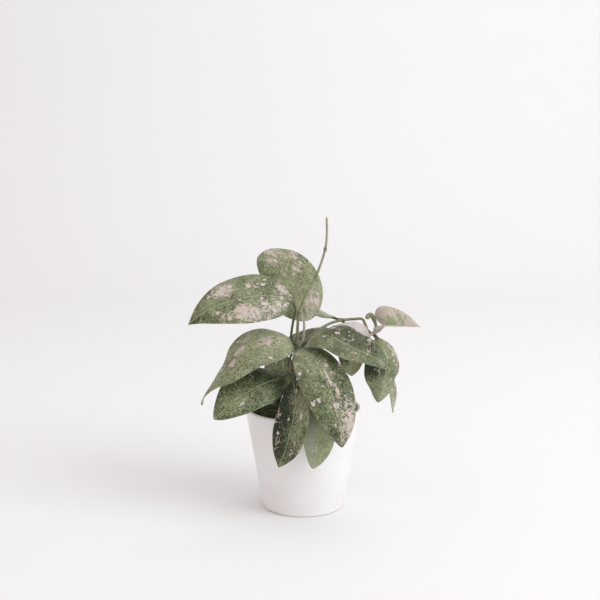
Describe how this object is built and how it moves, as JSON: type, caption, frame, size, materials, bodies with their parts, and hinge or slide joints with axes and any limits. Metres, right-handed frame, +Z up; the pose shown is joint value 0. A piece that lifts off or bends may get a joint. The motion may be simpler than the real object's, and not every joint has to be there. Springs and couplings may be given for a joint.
{
  "type": "potted variegated hoya",
  "caption": "Trailing hoya with silver-splashed leaves on stalks and vines, rooted in a plain white tapered pot that stands on its flat foot.",
  "frame": {"origin": "middle of the pot's flat foot, on the surface that it stands on", "axes": "+Z up, -Y towards the plant's front, +X to the viewer's right"},
  "size_m": [0.2336, 0.1814, 0.3006],
  "materials": {
    "pot": "smooth white satin glaze",
    "potting_mix": "dark damp bark and peat mix",
    "vine": "smooth olive stem, matt",
    "leaf": "waxy green with silver-pink splashes",
    "young_leaf": "soft pale green with pink, satin"
  },
  "bodies": {
    "root": {"pot": "pot", "potting_mix": "potting_mix", "vine_main": "vine", "vine_right": "vine", "vine_low": "vine", "leaf_upper_left": "leaf", "leaf_upper_back": "leaf", "leaf_left": "leaf", "leaf_low_left": "leaf", "leaf_front": "leaf", "leaf_front_low": "leaf", "leaf_centre_low": "leaf", "leaf_right": "leaf", "leaf_right_drop": "leaf", "leaf_back_right": "leaf", "leaf_small_right": "leaf", "leaf_back_centre": "leaf", "leaf_back_left": "leaf", "leaf_back_upper": "leaf", "leaf_young": "young_leaf", "leaf_young_pale": "young_leaf"}
  },
  "joints": []
}
